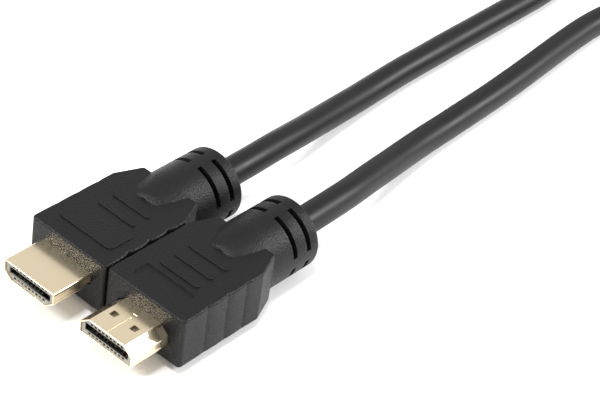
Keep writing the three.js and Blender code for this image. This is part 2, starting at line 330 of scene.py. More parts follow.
jacket, tree, shader = new_material(
    "jacket_vinyl", Roughness=0.4, IOR=1.48, Specular_IOR_Level=0.26)
place = add(tree, "ShaderNodeTexCoord").outputs["Object"]
facing = add(tree, "ShaderNodeAttribute", attribute_name="facing").outputs["Vector"]
along = add(tree, "ShaderNodeAttribute", attribute_name="along").outputs["Fac"]
turned = calculate(tree, "MULTIPLY", along, 2 * math.pi / lay_pitch)
spun = add(tree, "ShaderNodeVectorRotate", {"Vector": facing, "Angle": turned},
           rotation_type="Z_AXIS")
lay = add(tree, "ShaderNodeSeparateXYZ", {0: spun.outputs[0]}).outputs["X"]
cloud = noise(tree, place, 90, 3)
pore = noise(tree, place, 3000, 2)
soft = bump(tree, lay, 0.25, 0.00008)
link_shader(
    tree, shader, Base_Color=blend_colours(tree, cloud, jacket_black, jacket_worn),
    Roughness=ramp(tree, cloud, [(0.3, 0.36), (0.7, 0.48)]),
    Normal=bump(tree, pore, 0.35, 0.00004, soft))
print("material:", jacket.name)

# %% Cord
tree, start, end = new_tree("jacket_along_line", {
    "Radius": number, "Sides": count, "Jacket": stuff})
profile = add(tree, "GeometryNodeCurvePrimitiveCircle", {
    "Radius": start.outputs["Radius"], "Resolution": start.outputs["Sides"]})
spot = add(tree, "GeometryNodeInputPosition")
outward = add(tree, "ShaderNodeVectorMath", {0: spot.outputs[0]}, operation="NORMALIZE")
spline = add(tree, "GeometryNodeSplineParameter")
section = add(tree, "GeometryNodeStoreNamedAttribute", {
    "Geometry": profile.outputs[0], "Name": "facing"}, data_type="FLOAT_VECTOR", domain="POINT")
tree.links.new(outward.outputs[0], section.inputs["Value"])
line = add(tree, "GeometryNodeStoreNamedAttribute", {
    "Geometry": start.outputs["Geometry"], "Name": "along"}, data_type="FLOAT", domain="POINT")
tree.links.new(spline.outputs["Length"], line.inputs["Value"])
tube = add(tree, "GeometryNodeCurveToMesh", {
    "Curve": line.outputs[0], "Profile Curve": section.outputs[0], "Fill Caps": True})
finish_tree(tree, end, tube.outputs[0], start.outputs["Jacket"])

curve = bpy.data.curves.new("cord_line", "CURVE")
curve.dimensions = "3D"
strand = curve.splines.new("POLY")
strand.points.add(len(cord_line) - 1)
for point, place in zip(strand.points, cord_line):
    point.co = (*place, 1)
host = bpy.data.objects.new("cord_line", curve)
bpy.context.collection.objects.link(host)
cord = run_tree(host, tree, {"Radius": cord_radius, "Sides": 28, "Jacket": jacket}, "cord")
cord.data.shade_smooth()
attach(cord, "root")
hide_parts("cord_a", "cord_b", "cord_hank")
print("cord:", len(cord.data.polygons), "faces")

# %% [markdown]
# ## Plug housings
#
# Each plug is moulded in one piece: a flat housing with three finger scoops in each side, raised
# grip bars, and a round strain relief with slits that let it bend. The housing is a stack of
# rings, because its outline in plan is nearly the same at every height. The relief is turned
# round the cord's line. Booleans join the parts. The tiny edges that they leave are welded, and a
# small bevel then softens every edge, since no moulded edge is truly sharp.

# %% Sizes of a plug
mm = 0.001
housing_low, housing_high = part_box("overmould_b")
body_width = housing_high[0] - housing_low[0]
body_height = 11.8 * mm
body_straight = 22 * mm
body_length = 28.3 * mm
body_taper = 2.6 * mm
body_corner = 0.9 * mm
body_edge = 0.55 * mm
scoop_spread = 0.85 * mm
scoop_depths = {1: (0.62 * mm, 0.06 * mm), -1: (0.12 * mm, 0.34 * mm)}
scoop_places = [6.8 * mm, 12.4 * mm, 17.6 * mm]
scooped_from, scooped_to = 2 * mm, 21.5 * mm
plan_step = 0.2 * mm
touch = 0.01 * mm
clear = 1 * mm


def plug_place(letter):
    """Where a plug's own origin goes: on its axis, at its housing's front face."""
    low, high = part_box(f"overmould_{letter}")
    place = Matrix.Translation(((low[0] + high[0]) / 2, low[1], (low[2] + high[2]) / 2))
    return place @ Matrix.Rotation(math.pi if letter == "b" else 0, 4, "Y")


for letter in "ab":
    print("plug", letter, "at", tuple(round(v, 5) for v in plug_place(letter).translation))


# %% Helpers for outlines and solids
def round_corners(corners, radius, steps=5):
    """A closed outline, listed anticlockwise, with each corner rounded by its own radius."""
    radii = radius if isinstance(radius, list) else [radius] * len(corners)
    points = []
    befores, afters = corners[-1:] + corners[:-1], corners[1:] + corners[:1]
    for before, corner, after, r in zip(befores, corners, afters, radii):
        corner = Vector(corner)
        to_before = (Vector(before) - corner).normalized()
        to_after = (Vector(after) - corner).normalized()
        half = to_before.angle(to_after) / 2
        centre = corner + (to_before + to_after).normalized() * r / math.sin(half)
        first = corner + to_before * r / math.tan(half) - centre
        sweep = math.copysign(math.pi - 2 * half, to_after.cross(to_before))
        for k in range(steps + 1):
            points.append(centre + Matrix.Rotation(sweep * k / steps, 2) @ first)
    return points


def divide(outline, longest):
    """The outline with extra points, so that no side is longer than this."""
    points = []
    for a, b in zip(outline, outline[1:] + outline[:1]):
        parts = max(1, math.ceil((b - a).length / longest))
        points += [a.lerp(b, k / parts) for k in range(parts)]
    return points


def pulled_in(outline, distance):
    """The outline with each side moved inwards, so that its corners keep their shape."""
    points = []
    befores, afters = outline[-1:] + outline[:-1], outline[1:] + outline[:1]
    for before, point, after in zip(befores, outline, afters):
        to_here, onwards = (point - before).normalized(), (after - point).normalized()
        inwards = Vector((-to_here.y - onwards.y, to_here.x + onwards.x))
        points.append(point + inwards * distance / (1 + to_here.dot(onwards)))
    return points


def stack_rings(name, rings, closed=False):
    """A closed solid from rings with the same number of points: with flat ends, or end to end."""
    mesh = bpy.data.meshes.new(name)
    size = len(rings[0])
    faces = []
    if not closed:
        last = size * (len(rings) - 1)
        faces = [tuple(range(size))[::-1], tuple(range(last, last + size))]
    for k in range(len(rings) if closed else len(rings) - 1):
        here, there = k * size, (k + 1) % len(rings) * size
        for i in range(size):
            j = (i + 1) % size
            faces.append((here + i, here + j, there + j, there + i))
    mesh.from_pydata([p for ring in rings for p in ring], [], faces)
    made = bmesh.new()
    made.from_mesh(mesh)
    bmesh.ops.recalc_face_normals(made, faces=made.faces)
    made.to_mesh(mesh)
    made.free()
    solid = bpy.data.objects.new(name, mesh)
    bpy.context.collection.objects.link(solid)
    return solid


def soft_edges(outline_at, low, high, edge, steps=4):
    """Rings of a flat solid between two heights, with a rounded edge at both ends."""
    rings = []
    for k in range(steps + 1):
        turn = math.pi / 2 * k / steps
        rings.append((low + edge * (1 - math.cos(turn)), edge * (1 - math.sin(turn))))
    rings += [(low + high - z, inside) for z, inside in reversed(rings)]
    return [
        [(x, y, z) for x, y in pulled_in(outline_at(z), inside)] for z, inside in rings
    ]


def cut_or_join(solid, tools, operation):
    """Join other solids to this one, or cut them out of it, and use them up."""
    for tool in tools:
        step = solid.modifiers.new(tool.name, "BOOLEAN")
        step.operation = operation
        step.object = tool
        step.solver = "EXACT"
    graph = bpy.context.evaluated_depsgraph_get()
    mesh = bpy.data.meshes.new_from_object(solid.evaluated_get(graph), depsgraph=graph)
    solid.modifiers.clear()
    solid.data = mesh
    for tool in tools:
        bpy.data.objects.remove(tool)
    return solid


# %% Housing with its scoops
def scoop_depth(side, y, share):
    """How far a side goes in here: share is 0 at the narrow face and 1 at the wide face."""
    wide, narrow = scoop_depths[side]
    fall = max(math.exp(-abs(y - middle) / scoop_spread) for middle in scoop_places)
    return (narrow + (wide - narrow) * share) * fall


half_width = body_width / 2
body_plan = divide(round_corners([
    (-half_width, 0), (half_width, 0), (half_width, body_straight),
    (half_width - body_taper, body_length), (body_taper - half_width, body_length),
    (-half_width, body_straight),
], body_corner), plan_step)


def housing_outline(z):
    """The housing's plan at one height, with the scoops taken out of its two sides."""
    share = z / body_height + 0.5
    outline = []
    for x, y in body_plan:
        if scooped_from < y < scooped_to and abs(x) > half_width - touch:
            side = int(math.copysign(1, x))
            x -= side * scoop_depth(side, y, share)
        outline.append(Vector((x, y)))
    return outline


def build_housing():
    """The housing alone, as a stack of its outlines."""
    rings = soft_edges(housing_outline, -body_height / 2, body_height / 2, body_edge)
    return stack_rings("housing", rings)


print("housing plan:", len(body_plan), "points")

# %% Grip bars and panel
pad_height = 0.25 * mm
pad_edge = 0.09 * mm
pad_sunk = 0.3 * mm
bar_length = 10 * mm
bar_width = 1.2 * mm
bar_corner = 0.97 * bar_width / 2
bars_wide = [13.2 * mm, 17.2 * mm]
bars_narrow = [9.4 * mm, 13.2 * mm, 17.2 * mm]
panel_width, panel_from, panel_to, panel_corner = 14.6 * mm, 4.2 * mm, 11.1 * mm, 1.3 * mm
recess_width, recess_from, recess_to, recess_corner = 12.8 * mm, 3 * mm, 7.1 * mm, 0.4 * mm
panel = (panel_width, panel_from, panel_to, panel_corner)
recess = (recess_width, recess_from, recess_to, recess_corner)


def flat_pad(name, width, start, end, corner, low, high, steps=8):
    """A flat plate between two heights, with rounded corners and edges."""
    corners = [(-width / 2, start), (width / 2, start), (width / 2, end), (-width / 2, end)]
    outline = round_corners(corners, corner, steps)
    return stack_rings(name, soft_edges(lambda z: outline, low, high, pad_edge, 3))


def grip_pads():
    """The panel and two bars on the wide face, and three bars on the narrow face."""
    top = body_height / 2
    pads = [flat_pad("panel", *panel, top - pad_sunk, top + pad_height)]
    rows = [(y, 1) for y in bars_wide] + [(y, -1) for y in bars_narrow]
    for y, side in rows:
        low, high = sorted((side * (top - pad_sunk), side * (top + pad_height)))
        bar = (bar_length, y - bar_width / 2, y + bar_width / 2, bar_corner)
        pads.append(flat_pad("bar", *bar, low, high))
    return pads


print("bars:", len(bars_wide), "on the wide face and", len(bars_narrow), "on the narrow face")

# %% Strain relief
relief_radius = (housing_high[2] - housing_low[2]) / 2
relief_end = housing_high[1] - housing_low[1]
relief_edge = 0.7 * mm
relief_profile = [
    (5.95 * mm, 20.4 * mm), (6.27 * mm, 20.54 * mm), (6.53 * mm, 20.86 * mm),
    (6.78 * mm, 21.3 * mm), (6.98 * mm, 21.9 * mm), (7.17 * mm, 22.8 * mm),
    (7.42 * mm, 24.3 * mm), (7.67 * mm, 26.2 * mm), (7.83 * mm, 27.5 * mm),
    (relief_radius, 28.8 * mm),
]
lip_radius = 4.3 * mm
lip_reach = 0.45 * mm
lip_ease = 0.02 * mm
lip_bore = cord_radius + lip_ease
lip_wall = 0.25 * mm


def turn_profile(name, profile, sides=144):
    """A solid turned round the cord's line from radius and length pairs."""
    turns = [2 * math.pi * k / sides for k in range(sides)]
    return stack_rings(name, [
        [(r * math.cos(t), y, r * math.sin(t)) for t in turns] for r, y in profile
    ])


def build_relief():
    """The relief: its nose and body, a rounded end, and a thin lip round the cord."""
    profile = list(relief_profile)
    for k in range(7):
        turn = math.pi / 2 * k / 6
        profile.append((
            relief_radius - relief_edge * (1 - math.cos(turn)),
            relief_end - relief_edge * (1 - math.sin(turn)),
        ))
    for k in range(5):
        turn = math.pi / 2 * k / 4
        profile.append((
            lip_radius - (lip_radius - lip_bore - lip_wall) * math.sin(turn),
            relief_end + lip_reach * (1 - math.cos(turn)),
        ))
    return turn_profile("relief", profile)


print("relief:", len(relief_profile), "points before its rounded end")

# %% [markdown]
# ## Slits in the strain relief
#
# Two rows of four slits go round the relief. One cutter is a short arc with a square section, and
# a Geometry Nodes tree sets copies of it round the cord's line, row by row, and cuts them all out.

# %% Slits by Geometry Nodes
tree, start, end = new_tree("slits_round_cord", {
    "Rows": count, "First": number, "Pitch": number, "Width": number, "Round": count,
    "Sweep": number, "Core": number, "Reach": number, "Vinyl": stuff})
given = start.outputs
middle = calculate(tree, "ADD", given["Core"], given["Reach"])
middle = calculate(tree, "MULTIPLY", middle, 0.5)
deep = calculate(tree, "SUBTRACT", given["Reach"], given["Core"])
arc = add(tree, "GeometryNodeCurveArc", {
    "Resolution": 24, "Radius": middle, "Sweep Angle": given["Sweep"]})
back_turn = calculate(tree, "MULTIPLY", given["Sweep"], -0.5)
turn = add(tree, "ShaderNodeCombineXYZ", {"Z": back_turn})
centred = add(tree, "GeometryNodeTransform", {
    "Geometry": arc.outputs[0], "Rotation": turn.outputs[0]})
section = add(tree, "GeometryNodeCurvePrimitiveQuadrilateral", {
    "Width": deep, "Height": given["Width"]})
cutter = add(tree, "GeometryNodeCurveToMesh", {
    "Curve": centred.outputs[0], "Profile Curve": section.outputs[0], "Fill Caps": True})
stood = add(tree, "GeometryNodeTransform", {
    "Geometry": cutter.outputs[0], "Rotation": (math.pi / 2, 0, 0)})
total = calculate(tree, "MULTIPLY", given["Rows"], given["Round"])
spots = add(tree, "GeometryNodeMeshLine", {"Count": total, "Offset": (0, 0, 0)})
index = add(tree, "GeometryNodeInputIndex").outputs[0]
row = calculate(tree, "FLOOR", calculate(tree, "DIVIDE", index, given["Round"]))
row_y = calculate(tree, "MULTIPLY_ADD", row, given["Pitch"], given["First"])
shift = add(tree, "ShaderNodeCombineXYZ", {"Y": row_y})
placed = add(tree, "GeometryNodeSetPosition", {
    "Geometry": spots.outputs[0], "Offset": shift.outputs[0]})
step = calculate(tree, "DIVIDE", 2 * math.pi, given["Round"])
angle = calculate(tree, "MULTIPLY", calculate(tree, "ADD", index, 0.5), step)
spin = add(tree, "ShaderNodeCombineXYZ", {"Y": angle})
copies = add(tree, "GeometryNodeInstanceOnPoints", {
    "Points": placed.outputs[0], "Instance": stood.outputs[0], "Rotation": spin.outputs[0]})
cut_copies(tree, start, end, copies, given["Vinyl"])
slit_tree = tree
slit_sizes = {
    "Rows": 2, "First": 34.8 * mm, "Pitch": 4 * mm, "Width": 1.2 * mm, "Round": 4,
    "Sweep": math.radians(72), "Core": 4.4 * mm, "Reach": 9 * mm,
}
print("slits:", slit_sizes["Rows"] * slit_sizes["Round"])

# %% Shell section
shell_low, shell_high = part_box("shell_b")
shell_width = shell_high[0] - shell_low[0]
shell_height = shell_high[2] - shell_low[2]
shell_reach = housing_low[1] - shell_low[1]
shell_narrow = 9.3 * mm
shell_side = 2.6 * mm
shell_corner = 0.55 * mm
shell_fold = 0.15 * mm
shell_wall = 0.3 * mm
shell_inside = 5 * mm
side_sunk = 0.1 * mm
side_margin_low, side_margin_high = 0.35 * mm, 0.7 * mm


shell_corners = [Vector(corner) for corner in (
    (shell_narrow / 2, -shell_height / 2), (shell_width / 2, shell_height / 2 - shell_side),
    (shell_width / 2, shell_height / 2), (-shell_width / 2, shell_height / 2),
    (-shell_width / 2, shell_height / 2 - shell_side), (-shell_narrow / 2, -shell_height / 2),
)]


def plain_section(inside):
    """The shell's section in X and Z, anticlockwise, moved inwards by a distance."""
    return round_corners(pulled_in(shell_corners, inside), max(shell_corner - inside, 0.15 * mm), 6)


def folded_section(inside):
    """The outside of the shell's section, with the sunk panel in each upright side."""
    wide, narrow, top = shell_width / 2, shell_narrow / 2, shell_height / 2
    low_edge, high_edge = top - shell_side + side_margin_low, top - side_margin_high
    half = [
        (narrow, -top, shell_corner), (wide, top - shell_side, shell_corner / 2),
        (wide, low_edge, shell_fold), (wide - side_sunk, low_edge + side_sunk, shell_fold),
        (wide - side_sunk, high_edge - side_sunk, shell_fold), (wide, high_edge, shell_fold),
        (wide, top, shell_corner),
    ]
    rows = half + [(-x, z, r) for x, z, r in reversed(half)]
    outline = round_corners([(x, z) for x, z, r in rows], [r for x, z, r in rows], 6)
    return pulled_in(outline, inside)


def at_y(y, outline):
    """A ring of a solid that runs along Y."""
    return [(x, y, z) for x, z in outline]


print("shell section:", len(folded_section(0)), "points")

# %% [markdown]
# ## Grip vinyl
#
# A soft grip often gets a fine grain from its mould. An image of grain could be laid on, but it
# would need a map of the surface. Cells and noise in object coordinates need none.

# %% Housing material
vinyl_black = (0.0035, 0.0035, 0.004, 1)
vinyl_grey = (0.006, 0.006, 0.0062, 1)

vinyl, tree, shader = new_material(
    "overmould_vinyl", Roughness=0.5, IOR=1.5, Specular_IOR_Level=0.23)
place = add(tree, "ShaderNodeTexCoord").outputs["Object"]
cloud = noise(tree, place, 160, 4)
spark = add(tree, "ShaderNodeTexVoronoi", {"Vector": place, "Scale": 3200}).outputs["Distance"]
grain = noise(tree, place, 3000, 2)
pits = bump(tree, spark, 0.8, 0.00008)
link_shader(
    tree, shader, Base_Color=blend_colours(tree, cloud, vinyl_black, vinyl_grey),
    Roughness=ramp(tree, grain, [(0.3, 0.36), (0.7, 0.52)]),
    Normal=bump(tree, grain, 0.6, 0.00006, pits))
print("material:", vinyl.name)

# %% Overmoulds
edge_soft = 0.07 * mm
pocket_ease = 0.02 * mm
weld_share = 0.1
sharp_from = math.radians(38)


def soften(piece, width=0.0):
    """Round the sharp edges by a width, if one is given, and keep big faces looking flat."""
    piece.data.shade_smooth()
    if width:
        joined = piece.modifiers.new("joined", "WELD")
        joined.merge_threshold = weld_share * width
        edges = piece.modifiers.new("soften", "BEVEL")
        edges.width = width
        edges.segments = 2
        edges.limit_method = "ANGLE"
        edges.angle_limit = sharp_from
    else:
        piece.data.set_sharp_from_angle(angle=sharp_from)
    even = piece.modifiers.new("even", "WEIGHTED_NORMAL")
    even.keep_sharp = not width
    even.weight = 100
    graph = bpy.context.evaluated_depsgraph_get()
    mesh = bpy.data.meshes.new_from_object(piece.evaluated_get(graph), depsgraph=graph)
    piece.modifiers.clear()
    piece.data = mesh


def finish_piece(piece, material, letter, nodes):
    """Place a plug's piece, give it its material and stand it in for its solids."""
    piece.data.transform(plug_place(letter))
    piece.data.materials.clear()
    piece.data.materials.append(material)
    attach(piece, "root")
    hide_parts(*nodes)
    print(piece.name, len(piece.data.polygons), "faces")


for letter in "ab":
    body = cut_or_join(build_housing(), grip_pads() + [build_relief()], "UNION")
    top = body_height / 2
    recess_cut = flat_pad("recess", *recess, -top - pad_height, pad_height - top)
    pocket_outline = plain_section(-pocket_ease)
    pocket = stack_rings("pocket", [at_y(y, pocket_outline) for y in (-clear, shell_inside)])
    bore = turn_profile("bore", [(lip_bore, relief_end - clear), (lip_bore, relief_end + clear)])
    body = cut_or_join(body, [recess_cut, pocket, bore], "DIFFERENCE")
    overmould = run_tree(body, slit_tree, {**slit_sizes, "Vinyl": vinyl}, f"grip_{letter}")
    soften(overmould, edge_soft)
    finish_piece(overmould, vinyl, letter, [f"overmould_{letter}"])

# %% [markdown]
# ## Metal shells
#
# The shell is thin sheet metal, folded to a section with six sides and plated with gold. Seen from
# the front it is one closed band. A sheet could be folded and thickened, but rings like the
# housing's are simpler: one stack for the outside, and one for the inside, which is cut out of it
# and leaves a rounded rim. The sheet meets itself in a seam with a dovetail, in the middle of the
# narrow face, between two square latch holes.

# %% Shell cuts
latch_size = 1.5 * mm
latch_apart = 5.4 * mm
latch_back = 5 * mm
latch_past, latch_deep = 0.05 * mm, 0.45 * mm
notch_long = 1.9 * mm
notch_from = 5 * mm
notch_top = 1.65 * mm
notch_round = 0.5 * mm
notch_reach = 9 * clear
seam_wide = 0.07 * mm
seam_neck = 0.5 * mm
seam_head = 0.95 * mm
seam_from, seam_to = 2.2 * mm, 3.4 * mm
seam_deep = 0.05 * mm
rim_round = 0.1 * mm


def box_between(name, low, high):
    """A plain box between two corners, as a cutter."""
    (x0, y0, z0), (x1, y1, z1) = low, high
    plan = [(x0, y0), (x1, y0), (x1, y1), (x0, y1)]
    return stack_rings(name, [[(x, y, z) for x, y in plan] for z in (z0, z1)])


def latch_cutters(low, high):
    """Two square holes between two heights."""
    cutters = []
    for side in (-1, 1):
        middle = side * latch_apart / 2
        cutters.append(box_between(
            "latch_hole",
            (middle - latch_size / 2, -latch_back - latch_size / 2, low),
            (middle + latch_size / 2, -latch_back + latch_size / 2, high)))
    return cutters


def notch_cutters():
    """A rounded notch in each side of the shell, where it goes into the housing."""
    corners = [(-notch_long, -shell_height), (clear, -shell_height), (clear, notch_top),
               (-notch_long, notch_top)]
    outline = round_corners(corners, notch_round)
    cutters = []
    for side in (-1, 1):
        ends = sorted((side * notch_from, side * notch_reach))
        cutters.append(stack_rings("notch", [[(x, y, z) for y, z in outline] for x in ends]))
    return cutters


def seam_cutter():
    """A thin line with a dovetail in it, drawn in plan and cut through the narrow face."""
    line = [
        (0, -shell_reach - clear), (0, -seam_to), (-seam_neck / 2, -seam_to),
        (-seam_head / 2, -seam_from), (seam_head / 2, -seam_from),
        (seam_neck / 2, -seam_to + seam_wide),
        (seam_wide * 2, -seam_to + seam_wide), (seam_wide * 2, clear),
    ]
    half = seam_wide / 2
    strips = []
    for (x0, y0), (x1, y1) in zip(line, line[1:]):
        along = (Vector((x1, y1)) - Vector((x0, y0))).normalized() * half
        aside = Vector((-along.y, along.x))
        a, b = Vector((x0, y0)) - along, Vector((x1, y1)) + along
        plan = [a - aside, b - aside, b + aside, a + aside]
        low = -shell_height / 2 - clear
        strips.append(stack_rings("seam", [
            [(x, y, z) for x, y in plan] for z in (low, -shell_height / 2 + seam_deep)
        ]))
    return strips


print("seam:", round(1000 * (seam_head - seam_neck), 2), "mm wider at the head of its dovetail")

# %% [markdown]
# ## Gold plate
#
# Stretched noise gives the gold very faint lines along the plug, as rolled sheet has. Its hollow
# corners get painted shade in a darker gold. A map could hold it, but Pointiness finds them.

# %% Gold plate material
gold = (0.94, 0.79, 0.54, 1)
gold_pale = (0.96, 0.83, 0.6, 1)
# The third gold is painted shade for the hollow corners.
gold_painted_shade = (0.86, 0.69, 0.42, 1)

plate, tree, shader = new_material("gold_plate", Metallic=1.0, Roughness=0.2)
place = add(tree, "ShaderNodeTexCoord").outputs["Object"]
cloud = noise(tree, place, 260, 3)
stretch = add(tree, "ShaderNodeMapping", {"Vector": place, "Scale": (9000, 500, 3000)})
draw = noise(tree, stretch.outputs[0], 1, 2)
grain = noise(tree, place, 5000, 2)
hollow = add(tree, "ShaderNodeNewGeometry").outputs["Pointiness"]
# Painted shade: the most hollow places get the darker gold.
painted_shade_mask = ramp(tree, hollow, [(0.4, 1.0), (0.49, 0.0)])
tone = blend_colours(tree, cloud, gold, gold_pale)
lines = bump(tree, draw, 0.05, 0.00001)
link_shader(
    tree, shader, Base_Color=blend_colours(tree, painted_shade_mask, tone, gold_painted_shade),
    Roughness=ramp(tree, draw, [(0.3, 0.2), (0.7, 0.26)]),
    Normal=bump(tree, grain, 0.1, 0.00001, lines))
print("material:", plate.name)

# %% Shells
for letter in "ab":
    rims = [(math.sin(math.pi / 6 * k), math.cos(math.pi / 6 * k)) for k in range(4)]
    outside = [at_y(rim_round * (1 - rise) - shell_reach, folded_section(rim_round * (1 - fall)))
               for rise, fall in reversed(rims)]
    outside.append(at_y(shell_inside, folded_section(0)))
    inside = [at_y(-clear - shell_reach, plain_section(shell_wall - rim_round))]
    for rise, fall in reversed(rims):
        section = plain_section(shell_wall - rim_round * (1 - fall))
        inside.append(at_y(rim_round * (1 - rise) - shell_reach, section))
    inside.append(at_y(shell_inside + clear, plain_section(shell_wall)))
    band = cut_or_join(stack_rings("band", outside), [stack_rings("inside", inside)], "DIFFERENCE")
    low = -shell_height / 2
    cuts = latch_cutters(low - clear, low + shell_wall + latch_past) + notch_cutters()
    shell = cut_or_join(band, cuts, "DIFFERENCE")
    shell = cut_or_join(shell, seam_cutter(), "DIFFERENCE")
    shell.name = f"metal_shell_{letter}"
    soften(shell)
    finish_piece(shell, plate, letter, [f"shell_{letter}"])

# %% [markdown]
# ## Insulators
#
# The plastic insert holds the contacts. It has a wide slot for the socket's tongue, a groove for
# every contact, and a small window in its front face ahead of each groove. A Geometry Nodes tree
# sets a row of small boxes side by side and cuts them out, once for each kind of row.

# %% Row cutter by Geometry Nodes
def centred_row(tree, start, middle=None):
    """A row of points along X, centred on the cord's line or on a middle point."""
    given = start.outputs
    gaps = calculate(tree, "ADD", given["Count"], -1.0)
    whole = calculate(tree, "MULTIPLY", gaps, given["Pitch"])
    half_back = calculate(tree, "MULTIPLY", whole, -0.5)
    first = add(tree, "ShaderNodeCombineXYZ", {"X": half_back})
    if middle is not None:
        first = add(tree, "ShaderNodeVectorMath", {0: first.outputs[0], 1: middle}, operation="ADD")
    pitch = add(tree, "ShaderNodeCombineXYZ", {"X": given["Pitch"]})
    return add(tree, "GeometryNodeMeshLine", {
        "Count": given["Count"], "Start Location": first.outputs[0],
        "Offset": pitch.outputs[0]})


tree, start, end = new_tree("row_of_pockets", {
    "Count": count, "Pitch": number, "Size": "NodeSocketVector", "Middle": "NodeSocketVector",
    "Plastic": stuff})
row = centred_row(tree, start, start.outputs["Middle"])
cell = add(tree, "GeometryNodeMeshCube", {"Size": start.outputs["Size"]})
copies = add(tree, "GeometryNodeInstanceOnPoints", {
    "Points": row.outputs[0], "Instance": cell.outputs[0]})
cut_copies(tree, start, end, copies, start.outputs["Plastic"])
pocket_tree = tree
print("tree:", pocket_tree.name)

# %% Insulator sizes
insulator_gap = 0.04 * mm
insulator_recess = 0.35 * mm
insulator_front = insulator_recess - shell_reach
slot_width = 11.4 * mm
slot_height = 1.7 * mm
slot_depth = 7 * mm
slot_lift = 0.15 * mm
contact_pitch = 1 * mm
contact_width = 0.42 * mm
contact_thick = 0.3 * mm
contact_gap = 0.1 * mm
contact_step = 0.35 * mm
lip_thick, lip_depth = 0.15 * mm, 0.5 * mm
window_height, window_depth = 0.45 * mm, 1.2 * mm
contact_rows = [(10, 1), (9, -1)]


def slot_wall(side):
    """The height of the slot's wall on its wide side (1) or its narrow side (-1)."""
    return slot_lift + side * slot_height / 2


# %% [markdown]
# ## Insert plastic
#
# The insert is grey, but hardly any light reaches into its slot. Shadow alone could show that.
# Here the colour adds painted shade: it gets dark behind the front face, and turns brown further
# in.

# %% Insulator material
insert_grey = (0.2, 0.19, 0.165, 1)
# The near-black colour is painted shade for the inside of the slot.
insert_painted_shade = (0.008, 0.009, 0.01, 1)
insert_pale = (0.27, 0.255, 0.22, 1)
insert_back = (0.13, 0.11, 0.075, 1)
mouth_from, mouth_to = 0.03 * mm, 0.15 * mm
back_from, back_to = 3.2 * mm, 3.6 * mm

insert, tree, shader = new_material("insulator_plastic", Roughness=0.45, IOR=1.5)
place = add(tree, "ShaderNodeTexCoord").outputs["Object"]
from_front = add(tree, "ShaderNodeSeparateXYZ", {0: place}).outputs["Y"]
front_y = shell_low[1] + insulator_recess
# Painted shade: the colour goes near-black just behind the front face.
painted_shade_depth = add(tree, "ShaderNodeMapRange", {
    "Value": from_front, "From Min": front_y + mouth_from, "From Max": front_y + mouth_to})
behind = add(tree, "ShaderNodeMapRange", {
    "Value": from_front, "From Min": front_y + back_from, "From Max": front_y + back_to})
grain = noise(tree, place, 3000, 3)
shade = blend_colours(tree, grain, insert_grey, insert_pale)
shade = blend_colours(tree, painted_shade_depth.outputs[0], shade, insert_painted_shade)
link_shader(
    tree, shader, Base_Color=blend_colours(tree, behind.outputs[0], shade, insert_back),
    Normal=bump(tree, grain, 0.3, 0.00003))
print("material:", insert.name)

# %% Insulators
for letter in "ab":
    gap = shell_wall + insulator_gap
    body = stack_rings("insert", [
        at_y(y, plain_section(gap)) for y in (insulator_front, shell_inside - clear / 2)])
    slot_low = (-slot_width / 2, insulator_front - clear, slot_wall(-1))
    slot_high = (slot_width / 2, insulator_front + slot_depth, slot_wall(1))
    cuts = [box_between("slot", slot_low, slot_high)]
    narrow_face = -shell_height / 2 + shell_wall
    cuts += latch_cutters(narrow_face - clear, narrow_face + latch_deep)
    body = cut_or_join(body, cuts, "DIFFERENCE")
    for pins, side in contact_rows:
        wide = contact_width + 2 * contact_gap
        groove_long = slot_depth - lip_depth
        groove = (wide, groove_long, 2 * (contact_step + contact_gap))
        groove_middle = (0, insulator_front + lip_depth + groove_long / 2, slot_wall(side))
        window = (wide, 2 * window_depth, window_height)
        window_lift = side * (lip_thick + window_height / 2)
        window_middle = (0, insulator_front, slot_wall(side) + window_lift)
        for size, middle in ((groove, groove_middle), (window, window_middle)):
            body = run_tree(body, pocket_tree, {
                "Count": pins, "Pitch": contact_pitch, "Size": size, "Middle": middle,
                "Plastic": insert}, "insert")
    body.name = f"slotted_insert_{letter}"
    soften(body)
    finish_piece(body, insert, letter, [f"insulator_{letter}"])

# %% [markdown]
# ## Contacts
#
# The contacts are flat springs of plated copper alloy, ten on the wide side of the slot and nine
# on the narrow side. All are alike, so one is drawn as a strip that bulges into the slot, and a
# Geometry Nodes tree sets it out in a row.

# %% Contact strip
contact_long = 6.2 * mm
contact_front = insulator_front + lip_depth + contact_gap
contact_bulge = 0.22 * mm
bulge_at, bulge_reach = 2.2 * mm, 1.6 * mm
lean_by, lean_long = 0.1 * mm, 0.6 * mm
strip_round = 0.05 * mm
strip_steps = 20


def contact_strip(side):
    """One contact on a side of the slot, with its front end bent away behind the lip."""
    base = slot_wall(side) + side * (contact_step - contact_thick / 2)
    rings = []
    for k in range(strip_steps + 1):
        y = contact_long * k / strip_steps
        bulge = contact_bulge * math.exp(-((y - bulge_at) / bulge_reach) ** 2 * 2)
        lean = lean_by * max(0, 1 - y / lean_long)
        middle = base - side * (bulge - lean)
        half_x, half_z = contact_width / 2, contact_thick / 2
        corners = [(-half_x, -half_z), (half_x, -half_z), (half_x, half_z), (-half_x, half_z)]
        outline = round_corners(corners, strip_round, 2)
        rings.append([(x, contact_front + y, middle + z) for x, z in outline])
    return stack_rings("contact", rings)


print("contact:", strip_steps + 1, "sections")

# %% Contact row by Geometry Nodes
tree, start, end = new_tree("row_of_contacts", {"Count": count, "Pitch": number, "Plate": stuff})
row = centred_row(tree, start)
copies = add(tree, "GeometryNodeInstanceOnPoints", {
    "Points": row.outputs[0], "Instance": start.outputs["Geometry"]})
finish_tree(tree, end, copies.outputs[0], start.outputs["Plate"])
contact_tree = tree
print("tree:", contact_tree.name)

# %% Contact material
contact_rich = (0.95, 0.72, 0.36, 1)
contact_pale = (0.98, 0.82, 0.5, 1)

